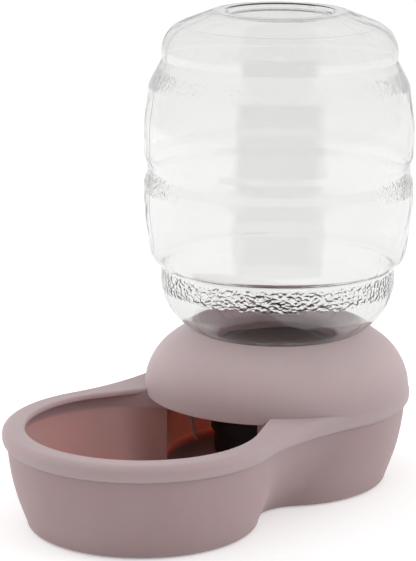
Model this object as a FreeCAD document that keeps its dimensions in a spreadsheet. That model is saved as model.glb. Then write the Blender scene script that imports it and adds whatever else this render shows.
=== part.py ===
"""Gravity pet water dispenser: a figure-of-eight tray with a drinking bowl in front,
a moulded top shell with a rolled rim and a bulb-shaped collar, and a clear barrel
bottle that stands on its neck in the collar. A sprung valve in the bottle's cap is
held open by a post on the tray's floor.

Millimetres. +Z is up and the bowl faces -Y. X = 0 is the plane of symmetry, and the
origin is on the floor, midway between the bowl's axis and the bottle's axis."""

import FreeCAD, Part
import math
import os

import Sketcher

os.makedirs("parts", exist_ok=True)
doc = FreeCAD.newDocument("pet_water_dispenser")

# Driving sizes, in millimetres unless the note says otherwise
SIZES = [
    ("centre_distance", 133.0, "from the bowl's axis to the bottle's axis"),
    ("floor_gap", 0.8, "the tray's underside above the ground, on its feet"),
    ("overshoot", 5.0, "how far a cutting shape reaches past what it cuts"),
    ("rim_radius", 89.5, "end radius of the rim"),
    ("rim_waist_inset", 8.5, "how far its waist lies inside its round ends"),
    ("rim_top", 65.3, "top of the rim above the ground"),
    ("rim_height", 12.6, "height of the rim from the lip's lower edge"),
    ("rim_plate", 3.0, "thickness of the rim's flat top"),
    ("rim_skirt", 2.1, "thickness of the rim's lip"),
    ("rim_outer_round", 4.5, "rounding of the rim's upper outer edge"),
    ("rim_lower_round", 6.0, "rounding of the lip towards the tray's wall"),
    ("rim_inner_round", 2.0, "rounding of the edge of the bowl's opening"),
    ("rim_width", 14.5, "width of the rim round the bowl's opening"),
    ("lap_clearance", 0.35, "gap between the lip and the tray's wall"),
    ("opening_back_inset", 29.0, "how far the opening's straight sides close in"),
    ("tray_wall", 3.0, "thickness of the tray's wall"),
    ("tray_floor_height", 9.0, "top of the tray's floor above the ground"),
    ("tray_floor_thickness", 3.5, "thickness of the tray's floor"),
    ("tray_floor_round", 5.0, "rounding from the floor into the wall"),
    ("tray_foot_round", 3.0, "rounding of the tray's bottom edge"),
    ("tray_foot_inset", 12.8, "how far the wall's foot lies inside its top edge"),
    ("tray_foot_waist_inset", 24.2, "how far its waist lies inside its ends there"),
    ("tray_low_inset", 9.0, "inset of the wall level with the floor's rounding"),
    ("tray_low_waist_inset", 20.5, "inset of the waist there"),
    ("tray_middle_height", 28.0, "height of the wall's middle section"),
    ("tray_middle_inset", 4.7, "inset of the wall there"),
    ("tray_middle_waist_inset", 16.4, "inset of the waist there"),
    ("tray_high_height", 45.0, "height of the wall's high section"),
    ("tray_high_inset", 1.6, "inset of the wall there"),
    ("tray_high_waist_inset", 12.0, "inset of the waist there"),
    ("base_ring_width", 9.0, "width of the ring left round the underside recess"),
    ("doorway_half_width", 39.4, "half width of the doorway from bowl to chamber"),
    ("wall_rib_width", 1.6, "width of the ribs on the chamber's wall"),
    ("wall_rib_depth", 2.0, "how far they stand out of the wall"),
    ("wall_rib_drop", 5.3, "their upper end below the tray's top edge"),
    ("wall_rib_count", 2, "ribs on the chamber's wall, a count"),
    ("foot_spread_x", 34.0, "feet from the plane of symmetry"),
    ("foot_inset_y", 30.0, "feet beyond the bowl's and the bottle's axis"),
    ("foot_radius", 8.0, "radius of a rubber foot"),
    ("foot_thickness", 2.2, "thickness of its pad"),
    ("foot_round", 0.7, "rounding of its lower edge"),
    ("stud_radius", 2.4, "radius of the foot's push-in stud"),
    ("stud_length", 4.0, "length of the stud"),
    ("stud_clearance", 0.1, "play of the stud in its hole"),
    ("foot_boss_wall", 1.5, "the boss beyond the foot's own radius"),
    ("post_radius", 5.0, "radius of the post under the valve"),
    ("post_height", 22.0, "top of the post above the ground"),
    ("gusset_reach", 12.0, "reach of the post's gussets from its axis"),
    ("gusset_thickness", 2.0, "thickness of a gusset"),
    ("gusset_count", 4, "gussets round the post, a count"),
    ("collar_inset", 0.7, "how far the collar's side lies inside the rim's edge"),
    ("collar_ledge", 3.1, "the rim's opening inside the collar's wall"),
    ("apron_depth", 1.8, "the collar's free edge below the tray's top edge"),
    ("apron_half_width", 47.8, "half width of that edge, between the tray's walls"),
    ("apron_splay", 2.6, "how much wider its outside is than its inside"),
    ("apron_round", 0.8, "rounding of the collar's free edge"),
    ("dome_corner_rise", 18.0, "where its side and slope meet, above the rim"),
    ("dome_round", 40.0, "radius of the collar's bulge"),
    ("dome_wall", 3.0, "thickness of the collar"),
    ("crest_inset", 30.8, "the crest round the bottle inside the collar's side"),
    ("crest_rise", 39.9, "corner of that crest above the rim"),
    ("crest_round", 3.0, "rounding of the crest"),
    ("dish_depth", 6.0, "from the crest down to the throat"),
    ("throat_length", 19.2, "length of the collar's throat"),
    ("throat_clearance", 2.5, "gap between the cap and the throat"),
    ("throat_round", 3.5, "rounding from the dish into the throat"),
    ("seat_clearance", 0.35, "gap between the bottle's shoulder and the dish"),
    ("bottle_wall", 1.2, "thickness of the bottle's wall"),
    ("neck_radius", 41.0, "outside of the bottle's neck"),
    ("neck_length", 24.6, "length of the neck below the shoulder"),
    ("neck_round", 4.0, "rounding from the neck into the shoulder"),
    ("shoulder_round", 37.0, "rounding from the shoulder into the barrel"),
    ("hoop_radius", 89.3, "radius of the barrel's two wide hoops"),
    ("low_band_depth", 11.5, "depth of the lower groove inside the hoops"),
    ("low_band_rise", 31.8, "the lower groove above the shoulder's corner"),
    ("low_hoop_start_depth", 4.6, "where the lower hoop's bulge begins, inside it"),
    ("low_hoop_start_rise", 4.8, "that point above the lower groove"),
    ("low_hoop_belly_rise", 32.6, "the lower hoop's widest part above that point"),
    ("low_hoop_end_rise", 19.0, "the hoop's upper end above its widest part"),
    ("middle_band_depth", 2.2, "depth of the middle groove"),
    ("middle_band_side", 5.8, "height of each side of the middle groove"),
    ("middle_band_width", 6.5, "height of the middle groove's floor"),
    ("high_hoop_belly_rise", 21.0, "the upper hoop's widest part above its start"),
    ("high_hoop_end_depth", 3.3, "where the upper hoop's bulge ends, inside it"),
    ("high_hoop_end_rise", 25.5, "that point above the hoop's widest part"),
    ("high_band_depth", 12.1, "depth of the upper groove"),
    ("high_band_rise", 16.5, "the upper groove above the hoop's end"),
    ("crown_depth", 9.5, "the barrel below its crown, inside the hoops"),
    ("crown_rise", 17.2, "the crown's corner above the upper groove"),
    ("crown_round", 19.0, "rounding of the crown"),
    ("crown_rim_radius", 44.5, "radius of the flat ring on top of the bottle"),
    ("crown_rim_rise", 14.2, "that ring above the crown's corner"),
    ("crown_rim_round", 10.0, "rounding from the crown into the ring"),
    ("recess_radius", 34.5, "radius of the recess inside the ring"),
    ("recess_lean", 1.0, "how far the recess's side leans outward"),
    ("recess_depth", 2.7, "depth of the recess"),
    ("recess_round", 1.5, "rounding of the recess's edges"),
    ("groove_round", 4.0, "rounding at the bottom of a groove"),
    ("hoop_edge_round", 12.0, "rounding where a hoop turns into its cone"),
    ("hoop_bulge_round", 90.0, "rounding of a hoop's bulge"),
    ("hoop_lip_round", 4.0, "rounding beside the middle groove"),
    ("spout_bottom", 18.4, "lower edge of the spout above the ground"),
    ("spout_inset", 2.3, "the spout's outside within the cap's"),
    ("spout_wall", 2.6, "thickness of the spout's wall"),
    ("spout_round", 1.2, "rounding of the spout's lower edge"),
    ("cap_bottom", 33.5, "lower edge of the cap above the ground"),
    ("cap_reach", 18.0, "how far the cap reaches up the neck"),
    ("cap_wall", 2.6, "thickness of the cap's wall"),
    ("cap_round", 1.2, "rounding of the cap's edges"),
    ("plate_thickness", 3.0, "thickness of the plate with the valve's port"),
    ("plate_step", 0.8, "how far the plate reaches past the cap's bore"),
    ("plate_clearance", 0.1, "gap round the plate in its seat in the cap"),
    ("port_radius", 11.0, "radius of the port in the plate"),
    ("ledge_width", 4.0, "width of the ledge that carries the gasket"),
    ("ledge_thickness", 2.5, "thickness of the ledge"),
    ("gasket_thickness", 2.0, "thickness of the gasket"),
    ("gasket_width", 3.6, "width of the gasket"),
    ("gasket_clearance", 0.3, "gap round the gasket"),
    ("neck_clearance", 0.4, "gap between neck and cap"),
    ("notch_width", 16.0, "width of a notch in the spout's lower edge"),
    ("notch_height", 9.6, "height of a notch, which sets the water level"),
    ("notch_round", 2.0, "rounding of a notch's upper corners"),
    ("flute_radius", 1.6, "radius of a flute in the cap's outside"),
    ("flute_depth", 0.8, "depth of a flute"),
    ("flute_length", 26.0, "length of a flute, down from the cap's top"),
    ("flute_count", 36, "flutes round the cap, a count"),
    ("stem_radius", 3.0, "radius of the valve's stem"),
    ("guide_clearance", 0.08, "running clearance of the stem in its guide"),
    ("valve_lift", 4.0, "how far the post holds the seal above the plate"),
    ("valve_travel", 3.0, "further travel of the valve up to its stop"),
    ("seal_thickness", 2.0, "thickness of the valve's seal"),
    ("seal_lap", 4.0, "how far the seal laps over the port's edge"),
    ("seal_round", 0.5, "rounding of the seal's lower edge"),
    ("seal_clearance", 0.2, "gap between the seal and the hub it sits on"),
    ("hub_radius", 6.5, "radius of the hub that carries the seal"),
    ("hub_step", 1.0, "how far the hub reaches below the seal"),
    ("head_inset", 1.0, "the valve's head inside its seal"),
    ("head_thickness", 2.6, "thickness of the valve's head"),
    ("head_round", 0.8, "rounding of the head's upper edge"),
    ("stop_radius", 5.0, "radius of the stop collar above the head"),
    ("stop_height", 4.0, "height of the stop collar"),
    ("stem_overlap", 6.0, "stem that reaches past the guide's top"),
    ("guide_length", 6.0, "length of the cage's guide sleeve"),
    ("guide_wall", 2.0, "wall of the guide sleeve"),
    ("cage_top", 1.8, "thickness of the cage's top"),
    ("cage_round", 0.8, "rounding of the top's edge"),
    ("cage_clearance", 1.5, "gap between the seal and the cage"),
    ("cage_foot_width", 3.5, "width of the cage's foot ring"),
    ("cage_foot_height", 2.5, "height of the cage's foot ring"),
    ("cage_leg_width", 4.5, "width of a leg of the cage"),
    ("cage_leg_thickness", 2.4, "thickness of a leg of the cage"),
    ("cage_leg_inset", 0.4, "how far a leg's face lies inside the cage's outside"),
    ("cage_leg_count", 3, "legs of the cage, a count"),
    ("spring_radius", 7.6, "mean radius of the valve's spring"),
    ("spring_wire", 0.5, "radius of the spring's wire"),
    ("spring_turns", 5.0, "turns of the spring, a count"),
    ("spring_gap", 0.3, "gap between the spring's ends and what they press on"),
]

sheet = doc.addObject("Spreadsheet::Sheet", "Sizes")
for row, (alias, number, note) in enumerate(SIZES, start=1):
    sheet.set("A%d" % row, alias)
    sheet.set("B%d" % row, str(number))
    sheet.set("C%d" % row, note)
    sheet.setAlias("B%d" % row, alias)
worked_out = doc.addObject("Spreadsheet::Sheet", "WorkedOut")
doc.recompute()


class Size:
    """A length with the sheet's formula that gives it, so that sketches start at the
    right shape and stay bound to the sheet."""

    def __init__(self, formula, value):
        self.formula = formula
        self.value = value

    def __add__(self, other):
        return join(self, "+", other, self.value + number(other))

    def __sub__(self, other):
        return join(self, "-", other, self.value - number(other))

    def __mul__(self, other):
        return join(self, "*", other, self.value * number(other))

    def __truediv__(self, other):
        return join(self, "/", other, self.value / number(other))

    def __neg__(self):
        return Size("(0 - %s)" % self.formula, -self.value)


def number(size):
    return size.value if isinstance(size, Size) else float(size)


def text(size):
    return size.formula if isinstance(size, Size) else repr(float(size))


def root(size):
    return Size("sqrt(%s)" % size.formula, math.sqrt(size.value))


def join(first, sign, second, value):
    return Size("(%s %s %s)" % (text(first), sign, text(second)), value)


def keep(row, alias, size):
    """Give a worked-out value its own cell, so that formulas stay short."""
    cell = "B%d" % row
    worked_out.set("A%d" % row, alias)
    worked_out.set(cell, "=" + size.formula)
    worked_out.setAlias(cell, alias)
    return Size("WorkedOut." + alias, size.value)


class Sheet:
    """Each alias of the sheet as a Size."""


S = Sheet()
for alias, amount, note in SIZES:
    setattr(S, alias, Size("Sizes." + alias, amount))

AXIS = None
ZERO = Size("0", 0.0)
BOTTLE_Y = S.centre_distance / 2
BOWL_Y = -BOTTLE_Y
ROUND_TURN = 360


def new_body(name, x=None, y=None, z=None):
    """A body whose own axis stands at x, y, z, each bound to the sheet."""
    body = doc.addObject("PartDesign::Body", name)
    body.Label = name
    for letter, size in (("x", x), ("y", y), ("z", z)):
        if size is not None:
            body.setExpression("Placement.Base." + letter, text(size))
    return body


def new_sketch(body, name, plane="XY_Plane", height=None):
    """A sketch on one of the body's own origin planes, raised by height."""
    sketch = body.newObject("Sketcher::SketchObject", name)
    for feature in body.Origin.OriginFeatures:
        if feature.Role == plane:
            sketch.AttachmentSupport = [(feature, "")]
    sketch.MapMode = "FlatFace"
    if height is not None:
        sketch.setExpression("AttachmentOffset.Base.z", text(height))
    return sketch


def bind(sketch, kind, *where, size):
    """A constraint whose value comes from the sheet."""
    index = sketch.addConstraint(Sketcher.Constraint(kind, *where, size.value))
    sketch.setExpression("Constraints[%d]" % index, size.formula)


def pin(sketch, geometry, point, x, y):
    """Hold a point at x, y from the sketch's origin; x may be AXIS."""
    if x is AXIS:
        sketch.addConstraint(Sketcher.Constraint("PointOnObject", geometry, point, -2))
    else:
        bind(sketch, "DistanceX", -1, 1, geometry, point, size=x)
    bind(sketch, "DistanceY", -1, 1, geometry, point, size=y)


def add_circle(sketch, x, y, radius):
    centre = FreeCAD.Vector(0 if x is AXIS else x.value, y.value, 0)
    circle = Part.Circle(centre, FreeCAD.Vector(0, 0, 1), radius.value)
    index = sketch.addGeometry(circle, False)
    pin(sketch, index, 3, x, y)
    bind(sketch, "Radius", index, size=radius)


def arc_between(centre, start, end):
    """The anticlockwise arc about centre from start to end."""
    radius = (start - centre).Length
    first = math.atan2(start.y - centre.y, start.x - centre.x)
    last = math.atan2(end.y - centre.y, end.x - centre.x)
    circle = Part.Circle(centre, FreeCAD.Vector(0, 0, 1), radius)
    return Part.ArcOfCircle(circle, first, last if last > first else last + 2 * math.pi)


def add_outline(sketch, corners):
    """A closed outline through corners (x, y) or (x, y, rounding)."""
    count = len(corners)
    points = []
    for corner in corners:
        x = 0 if corner[0] is AXIS else corner[0].value
        points.append(FreeCAD.Vector(x, corner[1].value, 0))
    before, after, rounds = [], [], []
    for i, (x, y, *rounding) in enumerate(corners):
        back = (points[i - 1] - points[i]).normalize()
        ahead = (points[(i + 1) % count] - points[i]).normalize()
        if not rounding:
            before.append(points[i])
            after.append(points[i])
            rounds.append(None)
            continue
        half = back.getAngle(ahead) / 2
        reach = rounding[0].value / math.tan(half)
        middle = (back + ahead).normalize() * (rounding[0].value / math.sin(half))
        before.append(points[i] + back * reach)
        after.append(points[i] + ahead * reach)
        rounds.append(points[i] + middle)
    lines = []
    for i in range(count):
        line = Part.LineSegment(after[i], before[(i + 1) % count])
        lines.append(sketch.addGeometry(line, False))
    for i, corner in enumerate(corners):
        last, following = lines[i - 1], lines[i]
        if rounds[i] is None:
            sketch.addConstraint(Sketcher.Constraint("Coincident", last, 2, following, 1))
            pin(sketch, following, 1, corner[0], corner[1])
            continue
        cross = (points[i] - points[i - 1]).cross(points[(i + 1) % count] - points[i])
        left_turn = cross.z > 0
        ends = (before[i], after[i]) if left_turn else (after[i], before[i])
        arc = sketch.addGeometry(arc_between(rounds[i], *ends), False)
        point = sketch.addGeometry(Part.Point(points[i]), True)
        pin(sketch, point, 1, corner[0], corner[1])
        first, second = (1, 2) if left_turn else (2, 1)
        sketch.addConstraint([
            Sketcher.Constraint("PointOnObject", point, 1, last),
            Sketcher.Constraint("PointOnObject", point, 1, following),
            Sketcher.Constraint("Tangent", last, 2, arc, first),
            Sketcher.Constraint("Tangent", arc, second, following, 1)])
        bind(sketch, "Radius", arc, size=corner[2])


def waist_round(radius, waist):
    """Radius of the hollow arc that joins two ends and leaves this half width."""
    above = waist * waist - radius * radius + BOTTLE_Y * BOTTLE_Y
    return above / ((radius - waist) * 2)


def add_figure_eight(sketch, radius, waist):
    """Two round ends about the bowl's and the bottle's axis, joined by hollow arcs."""
    hollow = waist_round(radius, waist)
    reach = radius.value + hollow.value
    side = math.sqrt(reach ** 2 - BOTTLE_Y.value ** 2)
    rear, front = FreeCAD.Vector(0, BOTTLE_Y.value, 0), FreeCAD.Vector(0, BOWL_Y.value, 0)
    right, left = FreeCAD.Vector(side, 0, 0), FreeCAD.Vector(-side, 0, 0)
    share = radius.value / reach
    rear_right, front_right = rear + (right - rear) * share, front + (right - front) * share
    rear_left, front_left = rear + (left - rear) * share, front + (left - front) * share
    arcs = [arc_between(rear, rear_right, rear_left), arc_between(left, front_left, rear_left),
            arc_between(front, front_left, front_right),
            arc_between(right, rear_right, front_right)]
    back, west, fore, east = [sketch.addGeometry(arc, False) for arc in arcs]
    sketch.addConstraint([
        Sketcher.Constraint("Tangent", back, 2, west, 2),
        Sketcher.Constraint("Tangent", west, 1, fore, 1),
        Sketcher.Constraint("Tangent", fore, 2, east, 2),
        Sketcher.Constraint("Tangent", east, 1, back, 1)])
    pin(sketch, back, 3, AXIS, BOTTLE_Y)
    pin(sketch, fore, 3, AXIS, BOWL_Y)
    for arc, size in ((back, radius), (fore, radius), (west, hollow), (east, hollow)):
        bind(sketch, "Radius", arc, size=size)


def add_two_rooms(sketch, radius):
    """The bowl's and the chamber's outline: each end a half circle that closes in to
    the doorway's upright edges on the middle plane."""
    gap = S.doorway_half_width.value
    axis = BOTTLE_Y.value
    side = ((radius.value - gap) ** 2 + axis ** 2) / (2 * (radius.value - gap))
    inset = radius.value - side
    parts = []
    for sign in (1, -1):
        centre = FreeCAD.Vector(0, sign * axis, 0)
        east = FreeCAD.Vector(radius.value, sign * axis, 0)
        west = FreeCAD.Vector(-radius.value, sign * axis, 0)
        door_east, door_west = FreeCAD.Vector(gap, 0, 0), FreeCAD.Vector(-gap, 0, 0)
        east_centre = FreeCAD.Vector(inset, sign * axis, 0)
        west_centre = FreeCAD.Vector(-inset, sign * axis, 0)
        if sign > 0:
            shapes = [arc_between(centre, east, west), arc_between(west_centre, west, door_west),
                      arc_between(east_centre, door_east, east)]
        else:
            shapes = [arc_between(centre, west, east), arc_between(west_centre, door_west, west),
                      arc_between(east_centre, east, door_east)]
        parts.append([sketch.addGeometry(shape, False) for shape in shapes])
    (rear, rear_west, rear_east), (front, front_west, front_east) = parts
    sketch.addConstraint([
        Sketcher.Constraint("Tangent", rear, 2, rear_west, 1),
        Sketcher.Constraint("Tangent", rear_east, 2, rear, 1),
        Sketcher.Constraint("Tangent", front_west, 2, front, 1),
        Sketcher.Constraint("Tangent", front, 2, front_east, 1),
        Sketcher.Constraint("Coincident", rear_west, 2, front_west, 1),
        Sketcher.Constraint("Coincident", rear_east, 1, front_east, 2)])
    for arc, height in ((rear, BOTTLE_Y), (front, BOWL_Y)):
        pin(sketch, arc, 3, AXIS, height)
        bind(sketch, "Radius", arc, size=radius)
    for arc, height in ((rear_west, BOTTLE_Y), (rear_east, BOTTLE_Y),
                        (front_west, BOWL_Y), (front_east, BOWL_Y)):
        bind(sketch, "DistanceY", -1, 1, arc, 3, size=height)
    for arc, point, sign in ((rear_west, 2, -1), (rear_east, 1, 1)):
        bind(sketch, "DistanceX", -1, 1, arc, point, size=S.doorway_half_width * sign)
        sketch.addConstraint(Sketcher.Constraint("PointOnObject", arc, point, -1))


def round_edge(base, rounding, radius, waist=None):
    """Heights, radii and waists of the sections that round an edge from flat to upright."""
    rows = []
    for degrees in EDGE_ANGLES:
        lift = rounding * (1 - math.cos(math.radians(degrees)))
        inset = rounding * (1 - math.sin(math.radians(degrees)))
        rows.append((base + lift, radius - inset, waist and waist - inset))
    return rows


EDGE_ANGLES = (0, 30, 60, 90)


def loft(body, name, sketches):
    """A smooth loft through the sketches, first to last."""
    feature = body.newObject("PartDesign::AdditiveLoft", name)
    feature.Profile = sketches[0]
    feature.Sections = sketches[1:]
    feature.Ruled = False
    doc.recompute()
    return feature


def turn(body, name, corners):
    """Turn an outline of (radius, height) corners about the body's own axis."""
    sketch = new_sketch(body, name + "_outline", "XZ_Plane")
    add_outline(sketch, corners)
    feature = body.newObject("PartDesign::Revolution", name)
    feature.Profile = sketch
    feature.ReferenceAxis = (sketch, ["V_Axis"])
    feature.Angle = ROUND_TURN
    doc.recompute()
    return feature


def extrude(body, kind, name, sketch, length, reverse=False, midplane=False):
    """A pad or a pocket of this length from the sketch."""
    feature = body.newObject("PartDesign::" + kind, name)
    feature.Profile = sketch
    feature.setExpression("Length", text(length))
    feature.Reversed = reverse
    feature.Midplane = midplane
    doc.recompute()
    return feature


def repeat(body, name, feature, count):
    """Copies of a feature, evenly spaced round the body's own axis."""
    pattern = body.newObject("PartDesign::PolarPattern", name)
    pattern.Originals = [feature]
    for axis in body.Origin.OriginFeatures:
        if axis.Role == "Z_Axis":
            pattern.Axis = (axis, [""])
    pattern.Angle = ROUND_TURN
    pattern.setExpression("Occurrences", text(count))
    body.Tip = pattern
    doc.recompute()
    return pattern


def edges_at(feature, height, keep=None):
    """Names of the feature's edges that lie wholly at this height."""
    names = []
    for index, edge in enumerate(feature.Shape.Edges, start=1):
        box = edge.BoundBox
        level = abs(box.ZMin - height.value) < EDGE_TOLERANCE
        flat = abs(box.ZMax - box.ZMin) < EDGE_TOLERANCE
        if level and flat and (keep is None or keep(edge)):
            names.append("Edge%d" % index)
    return names


EDGE_TOLERANCE = 0.01


def blend(body, name, feature, edges, radius):
    """Round the named edges of a feature."""
    fillet = body.newObject("PartDesign::Fillet", name)
    fillet.Base = (feature, edges)
    fillet.setExpression("Radius", text(radius))
    doc.recompute()
    return fillet


def combine(kind, name, base, tool):
    """The Part::Cut or Part::Common of two objects."""
    result = doc.addObject("Part::" + kind, name)
    result.Base = base
    result.Tool = tool
    result.Label = name
    doc.recompute()
    return result


def fuse(name, shapes):
    result = doc.addObject("Part::MultiFuse", name)
    result.Shapes = shapes
    result.Label = name
    doc.recompute()
    return result


RIM_BOTTOM = S.rim_top - S.rim_height
BOWL_OPENING = S.rim_radius - S.rim_width
TRAY_TOP = S.rim_top - S.rim_plate
TRAY_EDGE_RADIUS = S.rim_radius - S.rim_skirt - S.lap_clearance
TRAY_LOW_HEIGHT = S.tray_floor_height + S.tray_floor_round
RECESS_TOP = S.tray_floor_height - S.tray_floor_thickness
MID_FLOOR = S.tray_floor_height - S.tray_floor_thickness / 2

# Height, inset and waist inset of the tray's wall above its rounded foot
WALL_SECTIONS = [
    (TRAY_LOW_HEIGHT, S.tray_low_inset, S.tray_low_waist_inset),
    (S.tray_middle_height, S.tray_middle_inset, S.tray_middle_waist_inset),
    (S.tray_high_height, S.tray_high_inset, S.tray_high_waist_inset),
    (TRAY_TOP, ZERO, S.rim_waist_inset)]


def make_tray_outside():
    """The figure-of-eight block with its curved wall, its underside hollowed, and a
    boss over each foot."""
    body = new_body("tray_outside")
    foot_radius = TRAY_EDGE_RADIUS - S.tray_foot_inset
    foot_waist = foot_radius - S.tray_foot_waist_inset
    rows = round_edge(S.floor_gap, S.tray_foot_round, foot_radius, foot_waist)
    for height, inset, waist_inset in WALL_SECTIONS:
        radius = TRAY_EDGE_RADIUS - inset
        rows.append((height, radius, radius - waist_inset))
    sections = []
    for level, (height, radius, waist) in enumerate(rows):
        sketch = new_sketch(body, "tray_section_%d" % level, height=height)
        add_figure_eight(sketch, radius, waist)
        sections.append(sketch)
    loft(body, "tray_rounded_foot", sections[:len(EDGE_ANGLES)])
    loft(body, "tray_block", sections[len(EDGE_ANGLES) - 1:])
    recess = new_sketch(body, "recess_outline", height=S.floor_gap)
    ring = S.tray_foot_round + S.base_ring_width
    add_figure_eight(recess, foot_radius - ring, foot_waist - ring)
    extrude(body, "Pocket", "underside_recess", recess, RECESS_TOP - S.floor_gap, reverse=True)
    bosses = new_sketch(body, "boss_circles", height=S.foot_thickness)
    holes = new_sketch(body, "stud_holes", height=S.foot_thickness)
    for across in (S.foot_spread_x, -S.foot_spread_x):
        for along in (BOTTLE_Y + S.foot_inset_y, BOWL_Y - S.foot_inset_y):
            add_circle(bosses, across, along, S.foot_radius + S.foot_boss_wall)
            add_circle(holes, across, along, S.stud_radius + S.stud_clearance)
    extrude(body, "Pad", "foot_bosses", bosses, RECESS_TOP - S.foot_thickness)
    extrude(body, "Pocket", "stud_sockets", holes, S.stud_length + S.stud_clearance, reverse=True)
    return body


def make_tray_inside():
    """The room inside the tray, as a solid to cut: bowl, doorway and chamber. Above the
    rounded floor edge it follows the wall's outside at an even distance."""
    body = new_body("tray_inside")
    inner = TRAY_EDGE_RADIUS - S.tray_wall
    rows = round_edge(S.tray_floor_height, S.tray_floor_round, inner - S.tray_low_inset)
    for height, inset, waist_inset in WALL_SECTIONS[1:]:
        rows.append((height, inner - inset, None))
    sections = []
    for level, (height, radius, waist) in enumerate(rows):
        sketch = new_sketch(body, "room_section_%d" % level, height=height)
        add_two_rooms(sketch, radius)
        sections.append(sketch)
    loft(body, "room_rounded_floor", sections[:len(EDGE_ANGLES)])
    loft(body, "room_block", sections[len(EDGE_ANGLES) - 1:])
    return body


def make_post():
    """The post that holds the valve open, with four gussets on the chamber's floor."""
    body = new_body("post", y=BOTTLE_Y)
    turn(body, "post_shaft", [(AXIS, MID_FLOOR), (S.post_radius, MID_FLOOR),
                              (S.post_radius, S.post_height), (AXIS, S.post_height)])
    sketch = new_sketch(body, "gusset_outline", "XZ_Plane")
    shoulder = S.post_height - S.post_radius
    add_outline(sketch, [(AXIS, MID_FLOOR), (S.gusset_reach, MID_FLOOR),
                         (S.gusset_reach, S.tray_floor_height), (S.post_radius, shoulder),
                         (AXIS, shoulder)])
    gusset = extrude(body, "Pad", "gusset", sketch, S.gusset_thickness, midplane=True)
    repeat(body, "gussets", gusset, S.gusset_count)
    return body


def make_wall_ribs():
    """A slim upright rib on each side of the chamber's wall, following its curve."""
    body = new_body("wall_ribs", y=BOTTLE_Y)
    sketch = new_sketch(body, "wall_rib_outline", "XZ_Plane")
    inner = TRAY_EDGE_RADIUS - S.tray_wall
    top = TRAY_TOP - S.wall_rib_drop
    share = (TRAY_TOP - top) / (TRAY_TOP - S.tray_high_height)
    low, middle, high = [(inner - inset, height) for height, inset, waist in WALL_SECTIONS[:3]]
    end = (inner - S.tray_high_inset * share, top)
    foot = (inner - S.tray_low_inset - S.tray_wall, MID_FLOOR)
    rooted = [(radius + S.tray_wall / 2, height)
              for radius, height in (foot, low, middle, high, end)]
    free = [(radius - S.wall_rib_depth, height) for radius, height in (end, high, middle, low)]
    add_outline(sketch, rooted + free + [(foot[0] - S.wall_rib_depth, MID_FLOOR)])
    rib = extrude(body, "Pad", "wall_rib", sketch, S.wall_rib_width, midplane=True)
    repeat(body, "wall_rib_pair", rib, S.wall_rib_count)
    return body


def add_bowl_opening(sketch):
    """A circle about the bowl's axis whose sides run on straight, closing in a little,
    to two corners under the collar."""
    back_x = BOWL_OPENING - S.opening_back_inset
    back_y = BOWL_Y + BOWL_OPENING
    centre = FreeCAD.Vector(0, BOWL_Y.value, 0)
    corner = FreeCAD.Vector(back_x.value, back_y.value, 0)
    across = math.acos(BOWL_OPENING.value / (corner - centre).Length)
    angle = math.atan2(corner.y - centre.y, corner.x - centre.x) - across
    reach = FreeCAD.Vector(math.cos(angle), math.sin(angle), 0) * BOWL_OPENING.value
    east = centre + reach
    west = FreeCAD.Vector(-east.x, east.y, 0)
    other = FreeCAD.Vector(-corner.x, corner.y, 0)
    arc = sketch.addGeometry(arc_between(centre, west, east), False)
    right = sketch.addGeometry(Part.LineSegment(east, corner), False)
    back = sketch.addGeometry(Part.LineSegment(corner, other), False)
    left = sketch.addGeometry(Part.LineSegment(other, west), False)
    pin(sketch, arc, 3, AXIS, BOWL_Y)
    bind(sketch, "Radius", arc, size=BOWL_OPENING)
    sketch.addConstraint([
        Sketcher.Constraint("Tangent", arc, 2, right, 1),
        Sketcher.Constraint("Coincident", right, 2, back, 1),
        Sketcher.Constraint("Coincident", back, 2, left, 1),
        Sketcher.Constraint("Tangent", left, 2, arc, 1)])
    pin(sketch, right, 2, back_x, back_y)
    pin(sketch, back, 2, -back_x, back_y)


def bounds_bowl(edge):
    """Whether an edge of the rim's top runs along the bowl's opening, not across its
    covered end."""
    box = edge.BoundBox
    reach = BOWL_OPENING.value + EDGE_TOLERANCE
    return box.XMax < reach and box.XMin > -reach and box.YMin < 0


def make_rim():
    """The flat rim with its rounded lip over the tray's wall, open over the bowl and
    the chamber."""
    body = new_body("rim")
    outline = new_sketch(body, "rim_outline", height=RIM_BOTTOM)
    add_figure_eight(outline, S.rim_radius, S.rim_radius - S.rim_waist_inset)
    block = extrude(body, "Pad", "rim_block", outline, S.rim_height)
    upper = blend(body, "rim_upper_edge", block, edges_at(block, S.rim_top), S.rim_outer_round)
    blend(body, "rim_lower_edge", upper, edges_at(upper, RIM_BOTTOM), S.rim_lower_round)
    inside = new_sketch(body, "lip_inside", height=RIM_BOTTOM)
    hollow = S.rim_radius - S.rim_skirt
    add_figure_eight(inside, hollow, hollow - S.rim_waist_inset)
    extrude(body, "Pocket", "lip_hollow", inside, TRAY_TOP - RIM_BOTTOM, reverse=True)
    bowl = new_sketch(body, "bowl_opening_outline", height=S.rim_top)
    add_bowl_opening(bowl)
    opening = extrude(body, "Pocket", "bowl_opening", bowl, S.rim_plate + S.overshoot)
    around_bowl = edges_at(opening, S.rim_top, bounds_bowl)
    blend(body, "opening_edge", opening, around_bowl, S.rim_inner_round)
    chamber = new_sketch(body, "chamber_opening_circle", height=S.rim_top)
    add_circle(chamber, AXIS, BOTTLE_Y, DOME_RADIUS - S.dome_wall - S.collar_ledge)
    extrude(body, "Pocket", "chamber_opening", chamber, S.rim_plate + S.overshoot)
    return body


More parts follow.
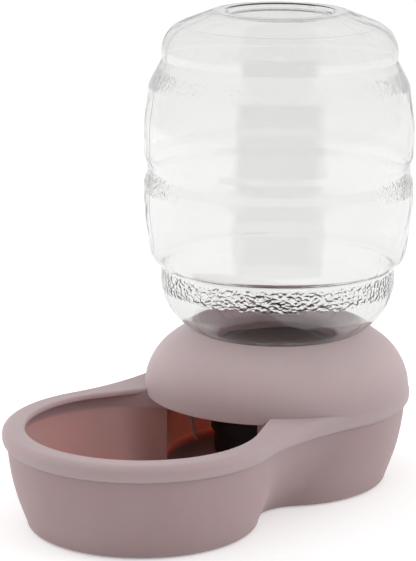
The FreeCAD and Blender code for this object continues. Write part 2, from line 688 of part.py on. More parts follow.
DOME_RADIUS = S.rim_radius - S.collar_inset
DOME_CORNER = S.rim_top + S.dome_corner_rise
CREST_RADIUS = DOME_RADIUS - S.crest_inset
CREST_HEIGHT = S.rim_top + S.crest_rise
CAP_BORE = S.neck_radius + S.neck_clearance
CAP_GRIP = CAP_BORE + S.cap_wall
THROAT_RADIUS = CAP_GRIP + S.throat_clearance
THROAT_TOP = CREST_HEIGHT - S.dish_depth
DISH_SLOPE = S.dish_depth / (CREST_RADIUS - THROAT_RADIUS)


def make_dome():
    """The bulb-shaped collar: bulge, crest, dished seat and throat, of even thickness."""
    body = new_body("collar", y=BOTTLE_Y)
    wall = S.dome_wall
    slope = (CREST_HEIGHT - DOME_CORNER) / S.crest_inset
    side_drop = wall * root(slope * slope + 1)
    dish_drop = wall * root(DISH_SLOPE * DISH_SLOPE + 1)
    shift = (dish_drop - side_drop) / (slope + DISH_SLOPE)
    throat_bottom = THROAT_TOP - S.throat_length
    turn(body, "collar_turned", [
        (DOME_RADIUS, TRAY_TOP),
        (DOME_RADIUS, DOME_CORNER, S.dome_round),
        (CREST_RADIUS, CREST_HEIGHT, S.crest_round),
        (THROAT_RADIUS, THROAT_TOP, S.throat_round),
        (THROAT_RADIUS, throat_bottom),
        (THROAT_RADIUS + wall, throat_bottom),
        (THROAT_RADIUS + wall, THROAT_TOP + DISH_SLOPE * wall - dish_drop),
        (CREST_RADIUS + shift, CREST_HEIGHT - slope * shift - side_drop),
        (DOME_RADIUS - wall, DOME_CORNER + slope * wall - side_drop, S.dome_round - wall),
        (DOME_RADIUS - wall, TRAY_TOP)])
    return body


def add_apron_outline(sketch):
    """The part of the collar's ring that lies between the tray's walls."""
    centre = FreeCAD.Vector(0, BOTTLE_Y.value, 0)
    corners = []
    for radius, half in ((DOME_RADIUS, S.apron_half_width + S.apron_splay),
                         (DOME_RADIUS - S.dome_wall, S.apron_half_width)):
        y = centre.y - math.sqrt(radius.value ** 2 - half.value ** 2)
        west, east = FreeCAD.Vector(-half.value, y, 0), FreeCAD.Vector(half.value, y, 0)
        arc = sketch.addGeometry(arc_between(centre, west, east), False)
        pin(sketch, arc, 3, AXIS, BOTTLE_Y)
        bind(sketch, "Radius", arc, size=radius)
        bind(sketch, "DistanceX", -1, 1, arc, 1, size=-half)
        bind(sketch, "DistanceX", -1, 1, arc, 2, size=half)
        corners.append((arc, west, east))
    (outer, outer_west, outer_east), (inner, inner_west, inner_east) = corners
    for start, end, point in ((outer_west, inner_west, 1), (outer_east, inner_east, 2)):
        side = sketch.addGeometry(Part.LineSegment(start, end), False)
        sketch.addConstraint([
            Sketcher.Constraint("Coincident", outer, point, side, 1),
            Sketcher.Constraint("Coincident", side, 2, inner, point)])


def make_apron():
    """The collar's free edge over the bowl: it hangs a little below the tray's top
    edge, between the tray's walls."""
    body = new_body("apron")
    low = TRAY_TOP - S.apron_depth
    sketch = new_sketch(body, "apron_outline", height=low)
    add_apron_outline(sketch)
    pad = extrude(body, "Pad", "apron_block", sketch, S.apron_depth + S.rim_plate / 2)
    blend(body, "apron_edge", pad, edges_at(pad, low), S.apron_round)
    return body


NECK_TOP = THROAT_TOP + S.seat_clearance - DISH_SLOPE * (THROAT_RADIUS - S.neck_radius)
NECK_BOTTOM = NECK_TOP - S.neck_length


def barrel_corners():
    """The barrel's outline from the shoulder's corner up to the crown's corner."""
    low_band = S.hoop_radius - S.low_band_depth
    middle_band = S.hoop_radius - S.middle_band_depth
    height = NECK_TOP + DISH_SLOPE * (low_band - S.neck_radius)
    corners = [(low_band, height, S.shoulder_round)]
    for radius, rise, rounding in (
            (low_band, S.low_band_rise, S.groove_round),
            (S.hoop_radius - S.low_hoop_start_depth, S.low_hoop_start_rise, S.hoop_edge_round),
            (S.hoop_radius, S.low_hoop_belly_rise, S.hoop_bulge_round),
            (S.hoop_radius, S.low_hoop_end_rise, S.hoop_lip_round),
            (middle_band, S.middle_band_side, S.groove_round / 2),
            (middle_band, S.middle_band_width, S.groove_round / 2),
            (S.hoop_radius, S.middle_band_side, S.hoop_lip_round),
            (S.hoop_radius, S.high_hoop_belly_rise, S.hoop_bulge_round),
            (S.hoop_radius - S.high_hoop_end_depth, S.high_hoop_end_rise, S.hoop_edge_round),
            (S.hoop_radius - S.high_band_depth, S.high_band_rise, S.groove_round),
            (S.hoop_radius - S.crown_depth, S.crown_rise, S.crown_round)):
        height = height + rise
        corners.append((radius, height, rounding))
    return corners


def inner_corners(corners, wall):
    """The rounded corners of an outline's inside, an even wall away on its left. The
    first and the last corner only give the direction."""
    steps = []
    for i, (start, end) in enumerate(zip(corners, corners[1:])):
        across, rise = end[0] - start[0], end[1] - start[1]
        length = root(across * across + rise * rise)
        steps.append((keep(2 * i + 1, "wall_lean_%d" % i, -rise / length),
                      keep(2 * i + 2, "wall_rise_%d" % i, across / length)))
    doc.recompute()
    inside = []
    for (radius, height, rounding), first, second in zip(corners[1:-1], steps, steps[1:]):
        share = wall / (first[0] * second[0] + first[1] * second[1] + 1)
        left_turn = first[0].value * second[1].value > first[1].value * second[0].value
        inside.append((radius + (first[0] + second[0]) * share,
                       height + (first[1] + second[1]) * share,
                       rounding - wall if left_turn else rounding + wall))
    return inside


def make_bottle():
    """The barrel bottle, neck down, turned with an even wall."""
    body = new_body("bottle", y=BOTTLE_Y)
    barrel = barrel_corners()
    top = barrel[-1][1] + S.crown_rim_rise
    floor = top - S.recess_depth
    outside = [(S.neck_radius, NECK_BOTTOM), (S.neck_radius, NECK_TOP, S.neck_round)] + barrel + [
        (S.crown_rim_radius, top, S.crown_rim_round),
        (S.recess_radius + S.recess_lean, top, S.recess_round),
        (S.recess_radius, floor, S.recess_round)]
    inside = inner_corners(outside + [(ZERO, floor)], S.bottle_wall)
    turn(body, "bottle_turned", outside + [(AXIS, floor), (AXIS, floor - S.bottle_wall)] + [
        *reversed(inside), (S.neck_radius - S.bottle_wall, NECK_BOTTOM)])
    return body


LEDGE_TOP = NECK_BOTTOM - S.gasket_thickness
CAP_TOP = NECK_BOTTOM + S.cap_reach
PLATE_RADIUS = CAP_BORE + S.plate_step
PLATE_TOP = S.cap_bottom + S.plate_thickness


def make_cap():
    """The black cap over the neck, with a ledge for the gasket and a seat for the
    valve's plate."""
    body = new_body("bottle_cap", y=BOTTLE_Y)
    seat = PLATE_RADIUS + S.plate_clearance
    ledge = CAP_BORE - S.ledge_width
    turn(body, "cap_turned", [
        (seat, S.cap_bottom), (CAP_GRIP, S.cap_bottom, S.cap_round),
        (CAP_GRIP, CAP_TOP, S.cap_round), (CAP_BORE, CAP_TOP), (CAP_BORE, LEDGE_TOP),
        (ledge, LEDGE_TOP), (ledge, LEDGE_TOP - S.ledge_thickness),
        (CAP_BORE, LEDGE_TOP - S.ledge_thickness), (CAP_BORE, PLATE_TOP), (seat, PLATE_TOP)])
    flute = new_sketch(body, "flute_circle", height=CAP_TOP)
    add_circle(flute, CAP_GRIP + S.flute_radius - S.flute_depth, ZERO, S.flute_radius)
    cut = extrude(body, "Pocket", "flute", flute, S.flute_length)
    repeat(body, "flutes", cut, S.flute_count)
    return body


def make_plate():
    """The plate pressed into the cap from below: the valve's port, and a spout whose
    notches set the water level."""
    body = new_body("valve_plate", y=BOTTLE_Y)
    spout = CAP_GRIP - S.spout_inset
    spout_bore = spout - S.spout_wall
    turn(body, "plate_turned", [
        (S.port_radius, S.cap_bottom), (spout_bore, S.cap_bottom),
        (spout_bore, S.spout_bottom), (spout, S.spout_bottom, S.spout_round),
        (spout, S.cap_bottom), (PLATE_RADIUS, S.cap_bottom), (PLATE_RADIUS, PLATE_TOP),
        (S.port_radius, PLATE_TOP)])
    notch = new_sketch(body, "notch_outline", "YZ_Plane")
    half = S.notch_width / 2
    low = S.spout_bottom - S.overshoot
    top = S.spout_bottom + S.notch_height
    add_outline(notch, [(-half, low), (half, low), (half, top, S.notch_round),
                        (-half, top, S.notch_round)])
    extrude(body, "Pocket", "notches", notch, PLATE_RADIUS * 2, midplane=True)
    return body


def make_gasket():
    """The ring between the neck's end and the cap's ledge."""
    body = new_body("cap_gasket", y=BOTTLE_Y)
    outer = CAP_BORE - S.gasket_clearance
    inner = outer - S.gasket_width
    turn(body, "gasket_turned", [(inner, LEDGE_TOP), (outer, LEDGE_TOP),
                                 (outer, NECK_BOTTOM), (inner, NECK_BOTTOM)])
    return body


SEAL_LOW = PLATE_TOP + S.valve_lift
HEAD_LOW = SEAL_LOW + S.seal_thickness
HEAD_TOP = HEAD_LOW + S.head_thickness
STOP_TOP = HEAD_TOP + S.stop_height
GUIDE_LOW = STOP_TOP + S.valve_travel
GUIDE_TOP = GUIDE_LOW + S.guide_length
GUIDE_BORE = S.stem_radius + S.guide_clearance
SEAL_RADIUS = S.port_radius + S.seal_lap


def make_poppet():
    """The valve's stem, head and stop collar; its lower end stands on the post."""
    body = new_body("valve_poppet", y=BOTTLE_Y)
    head = SEAL_RADIUS - S.head_inset
    hub_low = SEAL_LOW - S.hub_step
    turn(body, "poppet_turned", [
        (AXIS, S.post_height), (S.stem_radius, S.post_height), (S.stem_radius, hub_low),
        (S.hub_radius, hub_low), (S.hub_radius, HEAD_LOW), (head, HEAD_LOW),
        (head, HEAD_TOP, S.head_round), (S.stop_radius, HEAD_TOP), (S.stop_radius, STOP_TOP),
        (S.stem_radius, STOP_TOP), (S.stem_radius, GUIDE_TOP + S.stem_overlap),
        (AXIS, GUIDE_TOP + S.stem_overlap)])
    return body


def make_seal():
    """The soft ring under the valve's head."""
    body = new_body("valve_seal", y=BOTTLE_Y)
    inner = S.hub_radius + S.seal_clearance
    turn(body, "seal_turned", [
        (inner, SEAL_LOW), (SEAL_RADIUS, SEAL_LOW, S.seal_round),
        (SEAL_RADIUS, HEAD_LOW), (inner, HEAD_LOW)])
    return body


def make_cage():
    """The cage on the valve's plate: foot ring, three legs, top and guide sleeve."""
    body = new_body("valve_cage", y=BOTTLE_Y)
    inner = SEAL_RADIUS + S.cage_clearance
    outer = inner + S.cage_foot_width
    sleeve = GUIDE_BORE + S.guide_wall
    top_low = GUIDE_TOP - S.cage_top
    turn(body, "cage_foot", [
        (inner, PLATE_TOP), (outer, PLATE_TOP), (outer, PLATE_TOP + S.cage_foot_height),
        (inner, PLATE_TOP + S.cage_foot_height)])
    turn(body, "cage_top", [
        (GUIDE_BORE, GUIDE_LOW), (sleeve, GUIDE_LOW), (sleeve, top_low),
        (outer, top_low), (outer, GUIDE_TOP, S.cage_round), (GUIDE_BORE, GUIDE_TOP)])
    leg = new_sketch(body, "leg_outline", "XY_Plane", height=PLATE_TOP)
    half = S.cage_leg_width / 2
    inside = outer - S.cage_leg_thickness
    edge = outer - S.cage_leg_inset
    add_outline(leg, [(inside, -half), (edge, -half), (edge, half), (inside, half)])
    pad = extrude(body, "Pad", "cage_leg", leg, GUIDE_TOP - PLATE_TOP)
    repeat(body, "cage_legs", pad, S.cage_leg_count)
    return body


def make_spring():
    """The spring that presses the valve's head down from the cage's top."""
    body = new_body("valve_spring", y=BOTTLE_Y)
    low = HEAD_TOP + S.spring_gap + S.spring_wire
    high = GUIDE_TOP - S.cage_top - S.spring_gap - S.spring_wire
    wire = new_sketch(body, "wire_circle", "XZ_Plane")
    add_circle(wire, S.spring_radius, low, S.spring_wire)
    coil = body.newObject("PartDesign::AdditiveHelix", "coil")
    coil.Profile = wire
    coil.ReferenceAxis = (wire, ["V_Axis"])
    coil.Mode = "pitch-height-angle"
    coil.setExpression("Height", text(high - low))
    coil.setExpression("Pitch", text((high - low) / S.spring_turns))
    doc.recompute()
    return body


def make_foot(name, x, y):
    """A rubber foot: a round pad with a stud that pushes into the tray's boss."""
    body = new_body(name, x=x, y=y)
    stud_top = S.foot_thickness + S.stud_length
    turn(body, name + "_turned", [
        (AXIS, ZERO), (S.foot_radius, ZERO, S.foot_round), (S.foot_radius, S.foot_thickness),
        (S.stud_radius, S.foot_thickness), (S.stud_radius, stud_top), (AXIS, stud_top)])
    return body


tray_shell = combine("Cut", "tray_shell", make_tray_outside(), make_tray_inside())
basin = fuse("basin", [tray_shell, make_post(), make_wall_ribs()])
top_shell = fuse("top_shell", [make_rim(), make_dome(), make_apron()])
nodes = [basin, top_shell, make_bottle(), make_cap(), make_plate(), make_gasket(),
         make_poppet(), make_seal(), make_cage(), make_spring()]
for side, across in (("left", -S.foot_spread_x), ("right", S.foot_spread_x)):
    nodes.append(make_foot("foot_front_" + side, across, BOWL_Y - S.foot_inset_y))
    nodes.append(make_foot("foot_rear_" + side, across, BOTTLE_Y + S.foot_inset_y))
doc.recompute()

for thing in doc.Objects:
    if "Invalid" in thing.State or "Error" in thing.State:
        raise RuntimeError("%s did not build: %s" % (thing.Name, thing.State))
for node in nodes:
    shape = node.Shape
    if shape.isNull() or not shape.isValid() or len(shape.Solids) != 1:
        raise RuntimeError("%s is not one valid solid" % node.Label)
for node in nodes:
    node.Shape.exportStep("parts/%s.step" % node.Label)
    print(node.Label, round(node.Shape.Volume), "mm3")
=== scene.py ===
"""Looks of the gravity pet water dispenser: mauve moulded shell, clear barrel bottle,
black cap. Metres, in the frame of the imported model; the bowl faces -Y."""

import math

import bpy
from mathutils import Matrix, Vector


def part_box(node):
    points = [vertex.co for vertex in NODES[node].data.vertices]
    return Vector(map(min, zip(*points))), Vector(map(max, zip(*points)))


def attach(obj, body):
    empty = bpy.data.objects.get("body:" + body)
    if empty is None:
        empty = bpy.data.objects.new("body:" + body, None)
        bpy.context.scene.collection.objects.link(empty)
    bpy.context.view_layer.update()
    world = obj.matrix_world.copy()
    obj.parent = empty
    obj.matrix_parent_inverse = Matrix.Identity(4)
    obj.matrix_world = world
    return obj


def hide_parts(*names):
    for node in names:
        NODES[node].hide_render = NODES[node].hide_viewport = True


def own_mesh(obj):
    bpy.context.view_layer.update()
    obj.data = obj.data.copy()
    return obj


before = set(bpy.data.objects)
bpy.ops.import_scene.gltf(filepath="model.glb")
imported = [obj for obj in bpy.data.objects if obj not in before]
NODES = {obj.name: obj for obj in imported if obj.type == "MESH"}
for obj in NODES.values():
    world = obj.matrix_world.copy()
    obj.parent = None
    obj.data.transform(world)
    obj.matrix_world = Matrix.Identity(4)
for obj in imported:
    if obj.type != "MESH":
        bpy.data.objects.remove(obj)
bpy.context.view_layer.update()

CENTRE_DISTANCE = 0.133
BOTTLE_Y = CENTRE_DISTANCE / 2

scene = bpy.context.scene


# Camera: the photograph's angle and framing
AZIMUTH, ELEVATION, ROLL = math.radians(40.583), math.radians(13.229), math.radians(0.376)
DISTANCE = 1.7249
TARGET = Vector((0.0, 0.0233, 0.162))
SENSOR_WIDTH, LENS = 36.0, 169.31
SHIFT_X, SHIFT_Y = -0.0493, -0.0507


def place_camera():
    data = bpy.data.cameras.new("camera")
    data.sensor_width = SENSOR_WIDTH
    data.lens = LENS
    data.shift_x, data.shift_y = SHIFT_X, SHIFT_Y
    back = Vector((math.sin(AZIMUTH) * math.cos(ELEVATION),
                   -math.cos(AZIMUTH) * math.cos(ELEVATION), math.sin(ELEVATION)))
    right = Vector((math.cos(AZIMUTH), math.sin(AZIMUTH), 0.0))
    up = back.cross(right)
    turned_right = right * math.cos(ROLL) + up * math.sin(ROLL)
    turned_up = up * math.cos(ROLL) - right * math.sin(ROLL)
    turn = Matrix((turned_right, turned_up, back)).transposed().to_4x4()
    camera = bpy.data.objects.new("camera", data)
    camera.matrix_world = Matrix.Translation(TARGET + back * DISTANCE) @ turn
    scene.collection.objects.link(camera)
    scene.camera = camera


place_camera()


# Node trees
class Nodes:
    """The node tree of a material or world, emptied to be wired anew."""

    def __init__(self, owner):
        owner.use_nodes = True
        self.owner = owner
        self.tree = owner.node_tree
        self.tree.nodes.clear()

    def add(self, kind, **values):
        """A new node with these properties."""
        node = self.tree.nodes.new(kind)
        for key, value in values.items():
            setattr(node, key, value)
        return node

    def link(self, source, target):
        self.tree.links.new(source, target)

    def set(self, node, **values):
        """Give a node's input sockets their constants; _ stands for a space."""
        for key, value in values.items():
            node.inputs[key.replace("_", " ")].default_value = value


def smooth(n, value, low, high):
    """0 below low, 1 above high, smooth between; low may be the larger."""
    step = n.add("ShaderNodeMapRange", interpolation_type="SMOOTHSTEP")
    n.set(step, From_Min=low, From_Max=high)
    n.link(value, step.inputs["Value"])
    return step.outputs["Result"]


def maths(n, operation, *values):
    """A Math node on sockets or numbers."""
    node = n.add("ShaderNodeMath", operation=operation)
    for socket, value in zip(node.inputs, values):
        if isinstance(value, (int, float)):
            socket.default_value = value
        else:
            n.link(value, socket)
    return node.outputs["Value"]


def product(n, first, *others):
    for other in others:
        first = maths(n, "MULTIPLY", first, other)
    return first


def total(n, first, *others):
    for other in others:
        first = maths(n, "ADD", first, other)
    return first


def along(n, x, y, direction):
    """How far a level place or direction reaches along another."""
    return total(n, product(n, x, direction[0]), product(n, y, direction[1]))


def mix(n, factor, first, second):
    """One colour over another; a colour is a socket or three numbers."""
    node = n.add("ShaderNodeMix", data_type="RGBA")
    n.link(factor, node.inputs["Factor"])
    for socket, value in ((node.inputs[6], first), (node.inputs[7], second)):
        if isinstance(value, tuple):
            socket.default_value = (*value, 1)
        else:
            n.link(value, socket)
    return node.outputs[2]


def split(n, vector):
    """The X, Y and Z sockets of a vector socket."""
    node = n.add("ShaderNodeSeparateXYZ")
    n.link(vector, node.inputs["Vector"])
    return node.outputs


def faces_axis(n, place, facing, axis_y):
    """Above 0 where a surface faces the upright axis through y = axis_y, below 0 where it
    turns its back to it, and larger further from it."""
    across = product(n, place["X"], facing["X"])
    lengthwise = product(n, maths(n, "SUBTRACT", place["Y"], axis_y), facing["Y"])
    return product(n, total(n, across, lengthwise), -1.0)


def noise(n, coordinates, scale, detail):
    texture = n.add("ShaderNodeTexNoise")
    n.set(texture, Scale=scale, Detail=detail)
    n.link(coordinates.outputs["Object"], texture.inputs["Vector"])
    return texture.outputs["Fac"]


def finish_plastic(n, coordinates, body, scale, strength, distance):
    """Give a shader its moulded grain, and the material its shader."""
    bump = n.add("ShaderNodeBump")
    n.set(bump, Strength=strength, Distance=distance)
    n.link(noise(n, coordinates, scale, 3.0), bump.inputs["Height"])
    n.link(bump.outputs["Normal"], body.inputs["Normal"])
    out = n.add("ShaderNodeOutputMaterial")
    n.link(body.outputs["BSDF"], out.inputs["Surface"])
    return n.owner


# Mauve plastic: each pair is the darker and the lighter of its uneven colour; the collar's pair
# is paler than the shell's as painted light.
TRAY = ((0.43, 0.315, 0.32), (0.455, 0.335, 0.34))
SHELL = ((0.48, 0.38, 0.39), (0.505, 0.4, 0.41))
# Painted light: a paler copy of the shell's colour for the collar's top
COLLAR_PAINTED_LIGHT = ((0.56, 0.445, 0.45), (0.585, 0.465, 0.47))
# Painted shade: a darker, deeper mauve in the collar's dish under the bottle
DISH_PAINTED_SHADE = (0.5, 0.33, 0.37)
# Painted light: the tray's inside redder and paler, as bounce light
INSIDE_PAINTED_LIGHT = (0.64, 0.43, 0.415)
# Painted shade on the tray's inside wall towards the doorway
INSIDE_PAINTED_SHADE_NEAR_DOOR = (0.4, 0.22, 0.2)
# Painted shade in the band where the lip doubles the wall
INSIDE_PAINTED_LAP_SHADE = (0.46, 0.33, 0.345)
# Painted light: the chamber's walls and floor paler
CHAMBER_WALL_PAINTED_LIGHT = (0.8, 0.82, 0.78)
CHAMBER_FLOOR_PAINTED_LIGHT = (0.75, 0.5, 0.46)

# Where they fade into each other, from and to
COLLAR_PAINTED_LIGHT_HEIGHTS = (0.064, 0.09)
DISH_PAINTED_SHADE_RADII = (0.0575, 0.055)
WALL_TURNS = (-0.03, -0.015)
WALL_TILTS = (0.9, 0.7)
FLOOR_TILTS = (0.2, 0.6)
FLOOR_HEIGHTS = (0.05, 0.04)
PAINTED_LAP_SHADE_HEIGHTS = (0.0515, 0.0545)
DOOR_SHADE_Y = (-0.022, -0.004)
PAINTED_CHAMBER_LIGHT_Y = (0.004, 0.008)


def paint_collar_light_and_shade(n, coordinates, unevenness, colour):
    """Painted light and shade on the shell's collar: a little paler towards its top as painted
    light, and darker and deeper in its dish as painted shade.
    """
    x, y, z = split(n, coordinates.outputs["Object"])
    high = smooth(n, z, *COLLAR_PAINTED_LIGHT_HEIGHTS)
    behind = maths(n, "SUBTRACT", y, BOTTLE_Y)
    reach = maths(n, "SQRT", total(n, product(n, x, x), product(n, behind, behind)))
    in_dish = product(n, smooth(n, reach, *DISH_PAINTED_SHADE_RADII), high)
    colour = mix(n, high, colour, mix(n, unevenness, *COLLAR_PAINTED_LIGHT))
    return mix(n, in_dish, colour, DISH_PAINTED_SHADE)


def paint_inside_light_and_shade(n, coordinates, unevenness, colour):
    """Painted light and shade on the tray's inside: redder and paler as painted bounce light,
    with a painted soft shade where the lip doubles the wall and towards the doorway, and paler in
    the chamber as painted light."""
    place = split(n, coordinates.outputs["Object"])
    facing = split(n, coordinates.outputs["Normal"])
    lobe_axis = product(n, maths(n, "SIGN", place["Y"]), BOTTLE_Y)
    upright = smooth(n, maths(n, "ABSOLUTE", facing["Z"]), *WALL_TILTS)
    wall = product(n, smooth(n, faces_axis(n, place, facing, lobe_axis), *WALL_TURNS), upright)
    floor_part = product(n, smooth(n, facing["Z"], *FLOOR_TILTS),
                         smooth(n, place["Z"], *FLOOR_HEIGHTS))
    tone = mix(n, smooth(n, place["Y"], *DOOR_SHADE_Y), INSIDE_PAINTED_LIGHT, INSIDE_PAINTED_SHADE_NEAR_DOOR)
    tone = mix(n, smooth(n, place["Z"], *PAINTED_LAP_SHADE_HEIGHTS), tone, INSIDE_PAINTED_LAP_SHADE)
    chamber = mix(n, floor_part, CHAMBER_WALL_PAINTED_LIGHT, CHAMBER_FLOOR_PAINTED_LIGHT)
    tone = mix(n, smooth(n, place["Y"], *PAINTED_CHAMBER_LIGHT_Y), tone, chamber)
    return mix(n, maths(n, "MAXIMUM", wall, floor_part), colour, tone)


def mauve_plastic(name, colours, shade):
    """Matte, slightly translucent plastic with a fine moulded grain, a little uneven, and with
    the painted light and shade that its shade function adds to its colour.
    """
    n = Nodes(bpy.data.materials.new(name))
    body = n.add("ShaderNodeBsdfPrincipled")
    n.set(body, Roughness=0.6, IOR=1.46, Subsurface_Weight=1.0, Subsurface_Scale=0.004,
          Subsurface_Radius=(1.0, 0.42, 0.34))
    coordinates = n.add("ShaderNodeTexCoord")
    unevenness = smooth(n, noise(n, coordinates, 14.0, 2.0), 0.3, 0.7)
    colour = shade(n, coordinates, unevenness, mix(n, unevenness, *colours))
    n.link(colour, body.inputs["Base Color"])
    return finish_plastic(n, coordinates, body, 900.0, 0.12, 0.0004)


def plain_plastic(name, colour, roughness, specular=0.5):
    """Plain moulded plastic, rubber or wire with a fine grain."""
    n = Nodes(bpy.data.materials.new(name))
    body = n.add("ShaderNodeBsdfPrincipled")
    n.set(body, Base_Color=(*colour, 1), Roughness=roughness, Specular_IOR_Level=specular)
    return finish_plastic(n, n.add("ShaderNodeTexCoord"), body, 700.0, 0.1, 0.0003)


# The bottle's hammered band and its two finely speckled ones: low end, high end, strength
PEBBLES = (0.131, 0.148, 0.5)
SPECKS = ((0.197, 0.215, 0.12), (0.266, 0.281, 0.12))
BAND_FADE = 0.004
PEBBLE_FLATNESS = 1.35
RIPPLE_STRENGTH, SEAM_STRENGTH = 0.25, 0.15
# The mould seam lies in the upright plane through the axis with this level normal
SEAM_NORMAL = (-0.858, 0.514)
SEAM_EDGES = (0.0007, 0.0002)


def band(n, height, low, high, strength):
    """strength between two heights, fading out at both."""
    rise = smooth(n, height, low, low + BAND_FADE)
    fall = smooth(n, height, high, high - BAND_FADE)
    return product(n, rise, fall, strength)


def clear_plastic():
    """Clear plastic: hammered and speckled bands, a faint ripple and an upright mould
    seam on the outside only; the inside is smooth."""
    n = Nodes(bpy.data.materials.new("clear_plastic"))
    glass = n.add("ShaderNodeBsdfGlass")
    n.set(glass, Color=(0.935, 0.936, 0.933, 1), Roughness=0.02, IOR=1.57)
    coordinates = n.add("ShaderNodeTexCoord")
    place = split(n, coordinates.outputs["Object"])
    facing = split(n, coordinates.outputs["Normal"])
    outside = smooth(n, faces_axis(n, place, facing, BOTTLE_Y), 0.0, -0.01)

    flattened = n.add("ShaderNodeMapping")
    n.set(flattened, Scale=(1.0, 1.0, PEBBLE_FLATNESS))
    n.link(coordinates.outputs["Object"], flattened.inputs["Vector"])
    pebbles = n.add("ShaderNodeTexVoronoi", feature="SMOOTH_F1")
    n.set(pebbles, Scale=320.0, Smoothness=0.3, Randomness=0.85)
    n.link(flattened.outputs["Vector"], pebbles.inputs["Vector"])
    dents = product(n, pebbles.outputs["Distance"], band(n, place["Z"], *PEBBLES))
    specks = noise(n, coordinates, 800.0, 0.0)
    speckled = [product(n, specks, band(n, place["Z"], *heights)) for heights in SPECKS]

    ripple = product(n, noise(n, coordinates, 55.0, 1.0), RIPPLE_STRENGTH)
    off_seam = along(n, place["X"], maths(n, "SUBTRACT", place["Y"], BOTTLE_Y), SEAM_NORMAL)
    seam = smooth(n, maths(n, "ABSOLUTE", off_seam), *SEAM_EDGES)

    bump = n.add("ShaderNodeBump")
    n.set(bump, Distance=0.0016)
    n.link(outside, bump.inputs["Strength"])
    relief = total(n, dents, *speckled, ripple, product(n, seam, SEAM_STRENGTH))
    n.link(relief, bump.inputs["Height"])
    n.link(bump.outputs["Normal"], glass.inputs["Normal"])
    out = n.add("ShaderNodeOutputMaterial")
    n.link(glass.outputs["BSDF"], out.inputs["Surface"])
    return n.owner


def wear(material, *nodes):
    for node in nodes:
        materials = NODES[node].data.materials
        materials.clear()
        materials.append(material)


# The tray's inside and the shell's collar and dish get painted light and shade in their colour
wear(mauve_plastic("mauve_tray_painted_light_and_shade", TRAY, paint_inside_light_and_shade), "basin")
wear(mauve_plastic("mauve_shell_painted_light_and_shade", SHELL, paint_collar_light_and_shade), "top_shell")
wear(clear_plastic(), "bottle")
wear(plain_plastic("black_cap", (0.006, 0.006, 0.005), 0.5, specular=0.25),
     "bottle_cap", "valve_plate")
wear(plain_plastic("pale_silicone", (0.62, 0.62, 0.6), 0.5), "cap_gasket", "valve_seal")
wear(plain_plastic("white_plastic", (0.7, 0.7, 0.68), 0.35), "valve_cage", "valve_poppet")
wear(plain_plastic("foot_rubber", (0.12, 0.115, 0.115), 0.6),
     "foot_front_left", "foot_front_right", "foot_rear_left", "foot_rear_right")
spring_wire = plain_plastic("spring_wire", (0.45, 0.46, 0.47), 0.3)
wear(spring_wire, "valve_spring")

# A clear wall shades the collar as an opaque one does unless its shadow is off
NODES["bottle"].visible_shadow = False


# The valve's spring: its own coil, in place of the imported spring, fixed to the housing
SPRING_TURNS, STEPS_A_TURN, WIRE_SIDES = 5, 36, 10
WIRE_RADIUS, VALVE_STROKE = 0.0005, 0.003


def add_coil():
    (left, _, bottom), (right, _, top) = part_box("valve_spring")
    radius = (right - left) / 2 - WIRE_RADIUS
    low, high = bottom + WIRE_RADIUS, top - WIRE_RADIUS
    steps = SPRING_TURNS * STEPS_A_TURN
    points, faces = [], []
    for i in range(steps + 1):
        turn = 2 * math.pi * i / STEPS_A_TURN
        height = low + (high - low) * i / steps
        for j in range(WIRE_SIDES):
            around = 2 * math.pi * j / WIRE_SIDES
            reach = radius + WIRE_RADIUS * math.cos(around)
            points.append((reach * math.cos(turn), BOTTLE_Y + reach * math.sin(turn),
                           height + WIRE_RADIUS * math.sin(around)))
    for i in range(steps):
        for j in range(WIRE_SIDES):
            a, b = i * WIRE_SIDES + j, i * WIRE_SIDES + (j + 1) % WIRE_SIDES
            faces.append((a, a + WIRE_SIDES, b + WIRE_SIDES, b))
    faces.append(tuple(range(WIRE_SIDES)))
    faces.append(tuple(steps * WIRE_SIDES + j for j in reversed(range(WIRE_SIDES))))
    mesh = bpy.data.meshes.new("valve_coil")
    mesh.from_pydata(points, [], faces)
    mesh.shade_smooth()
    mesh.materials.append(spring_wire)
    coil = bpy.data.objects.new("valve_coil", mesh)
    scene.collection.objects.link(coil)
    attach(coil, "housing")
    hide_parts("valve_spring")
    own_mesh(coil)


add_coil()


# The studio is white, with a darker side where the photographer stood, which the bottle
# mirrors. Its brightness as light, and as seen in or through the bottle, each with what
# the darker side takes off it
WORLD_LIGHT, WORLD_LIGHT_DROP = 0.8, 0.32
WORLD_SEEN, WORLD_SEEN_DROP = 0.9, 0.82
DARK_SIDE = (math.sin(AZIMUTH), -math.cos(AZIMUTH))
# How squarely a direction has to point there to be dark, from and to
DARK_PATCH = (0.76, 0.84)
DARK_HAZE = (0.2, 0.9)
PATCH_LOW_END, PATCH_HIGH_END, HAZE_HIGH_END = (-0.26, -0.2), (0.38, 0.3), (0.65, 0.1)
# The floor: its colours, where its dark patch starts and what it glows beyond its light
FLOOR_WHITE, FLOOR_DARK = (0.9, 0.9, 0.9), (0.1, 0.1, 0.1)
FLOOR_REACH, FLOOR_PATCH_START, FLOOR_GLOW = 4.0, (0.2, 0.3), 0.33
# Keeps the roots below off zero
TINY = 0.0001


def mirrored(n, path):
    """1 for a ray that a surface has thrown back, also from inside the bottle's wall."""
    return maths(n, "GREATER_THAN", path.outputs["Glossy Depth"], 0.5)


def seen_in_bottle(n, path):
    """1 for a ray that comes straight from a mirroring or clear surface."""
    return maths(n, "MAXIMUM", path.outputs["Is Glossy Ray"], path.outputs["Is Transmission Ray"])


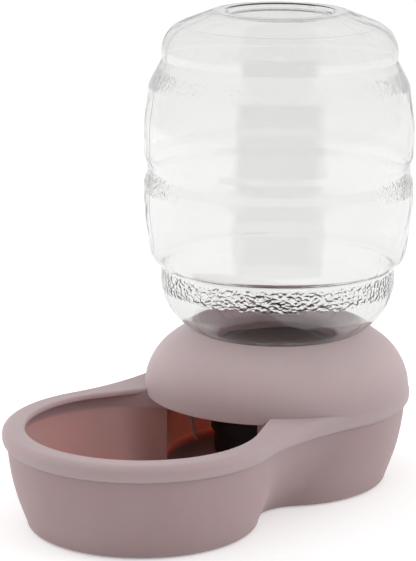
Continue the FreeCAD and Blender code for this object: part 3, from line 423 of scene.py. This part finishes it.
def add_floor():
    reach = FLOOR_REACH
    mesh = bpy.data.meshes.new("floor")
    mesh.from_pydata([(-reach, -reach, 0), (reach, -reach, 0), (reach, reach, 0),
                      (-reach, reach, 0)], [], [(0, 1, 2, 3)])
    floor = bpy.data.objects.new("floor", mesh)
    scene.collection.objects.link(floor)
    n = Nodes(bpy.data.materials.new("floor_white"))
    path = n.add("ShaderNodeLightPath")
    x, y, _ = split(n, n.add("ShaderNodeTexCoord").outputs["Object"])
    y = maths(n, "SUBTRACT", y, BOTTLE_Y)
    ahead = along(n, x, y, DARK_SIDE)
    distance = maths(n, "SQRT", total(n, product(n, x, x), product(n, y, y), TINY))
    squarely = maths(n, "DIVIDE", ahead, distance)
    dark = product(n, smooth(n, squarely, *DARK_PATCH), smooth(n, ahead, *FLOOR_PATCH_START),
                   mirrored(n, path))
    body = n.add("ShaderNodeBsdfDiffuse")
    n.link(mix(n, dark, FLOOR_WHITE, FLOOR_DARK), body.inputs["Color"])
    seen = maths(n, "MAXIMUM", path.outputs["Is Camera Ray"], seen_in_bottle(n, path))
    glow = n.add("ShaderNodeEmission")
    n.link(product(n, maths(n, "SUBTRACT", seen, dark), FLOOR_GLOW), glow.inputs["Strength"])
    both = n.add("ShaderNodeAddShader")
    n.link(body.outputs["BSDF"], both.inputs[0])
    n.link(glow.outputs["Emission"], both.inputs[1])
    out = n.add("ShaderNodeOutputMaterial")
    n.link(both.outputs["Shader"], out.inputs["Surface"])
    mesh.materials.append(n.owner)


add_floor()

LAMP_SIZE = 1.4
LAMP_TARGET = Vector((0.0, 0.02, 0.12))


def add_lamp(name, where, power):
    """A soft square lamp that the bottle doesn't mirror."""
    data = bpy.data.lights.new(name, "AREA")
    data.shape = "RECTANGLE"
    data.size = data.size_y = LAMP_SIZE
    data.energy = power
    lamp = bpy.data.objects.new(name, data)
    lamp.location = where
    lamp.rotation_euler = (LAMP_TARGET - Vector(where)).to_track_quat("-Z", "Y").to_euler()
    lamp.visible_glossy = False
    lamp.visible_transmission = False
    scene.collection.objects.link(lamp)


add_lamp("right", (1.7, 0.9, 1.2), 9.5)
add_lamp("left", (-1.7, -0.6, 1.0), 10)


def add_world():
    scene.world = bpy.data.worlds.new("world")
    n = Nodes(scene.world)
    path = n.add("ShaderNodeLightPath")
    east, north, up = split(n, n.add("ShaderNodeTexCoord").outputs["Generated"])
    level = maths(n, "SQRT", maths(n, "SUBTRACT", 1 + TINY, product(n, up, up)))
    squarely = maths(n, "DIVIDE", along(n, east, north, DARK_SIDE), level)
    patch = product(n, smooth(n, squarely, *DARK_PATCH), smooth(n, up, *PATCH_LOW_END),
                    smooth(n, up, *PATCH_HIGH_END), mirrored(n, path))
    haze = product(n, smooth(n, squarely, *DARK_HAZE), smooth(n, up, *HAZE_HIGH_END))
    light = maths(n, "SUBTRACT", WORLD_LIGHT, product(n, haze, WORLD_LIGHT_DROP))
    seen = maths(n, "SUBTRACT", WORLD_SEEN, product(n, patch, WORLD_SEEN_DROP))
    in_bottle = seen_in_bottle(n, path)
    to_camera = path.outputs["Is Camera Ray"]
    indirect = total(n, product(n, in_bottle, seen),
                     product(n, maths(n, "SUBTRACT", 1.0, in_bottle), light))
    strength = total(n, product(n, maths(n, "SUBTRACT", 1.0, to_camera), indirect), to_camera)
    background = n.add("ShaderNodeBackground")
    n.set(background, Color=(1, 1, 1, 1))
    n.link(strength, background.inputs["Strength"])
    out = n.add("ShaderNodeOutputWorld")
    n.link(background.outputs["Background"], out.inputs["Surface"])


add_world()

scene.view_settings.view_transform = "Standard"
